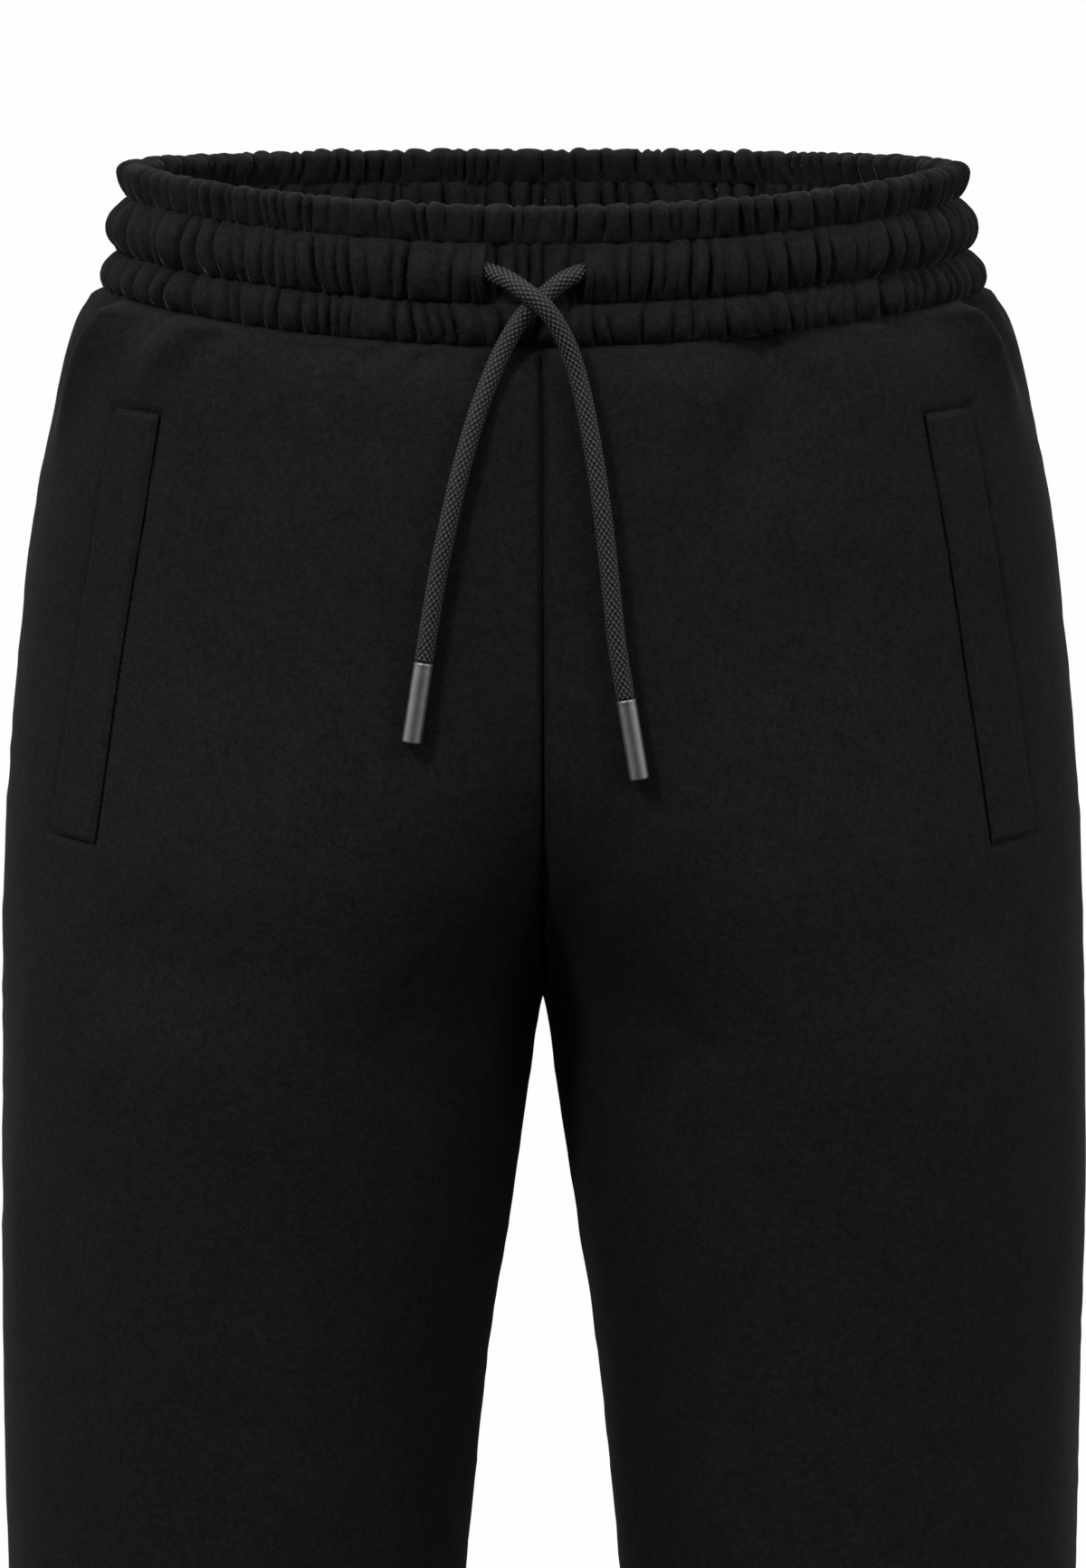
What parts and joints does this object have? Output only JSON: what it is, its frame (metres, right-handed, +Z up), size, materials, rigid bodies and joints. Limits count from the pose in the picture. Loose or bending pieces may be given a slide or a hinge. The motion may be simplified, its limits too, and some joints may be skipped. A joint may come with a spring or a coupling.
{
  "type": "jogger sweatpants",
  "caption": "Jogger sweatpants holding their worn shape with no wearer: shirred elastic waistband, crossed drawcord ends, slanting welt pockets and tapered legs gathered into ribbed cuffs.",
  "frame": {"origin": "middle of the waistband, halfway up its sides, where the wearer's waist holds the garment", "axes": "+Z up along the wearer's body; the front faces -Y; the wearer's left is +X"},
  "size_m": [0.4044, 0.272, 1.0335],
  "materials": {
    "black_fleece": "black cotton fleece, matt",
    "black_rib": "black rib knit, matt",
    "charcoal_braid": "round braided cord, dark grey",
    "gunmetal": "satin gunmetal"
  },
  "bodies": {
    "root": {"front_left": "black_fleece", "front_right": "black_fleece", "back_left": "black_fleece", "back_right": "black_fleece", "pocket_welt_left": "black_fleece", "pocket_welt_right": "black_fleece", "waistband": "black_fleece", "cuff_left": "black_rib", "cuff_right": "black_rib", "drawcord_left": "charcoal_braid", "drawcord_right": "charcoal_braid", "cord_tip_left": "gunmetal", "cord_tip_right": "gunmetal"}
  },
  "joints": []
}
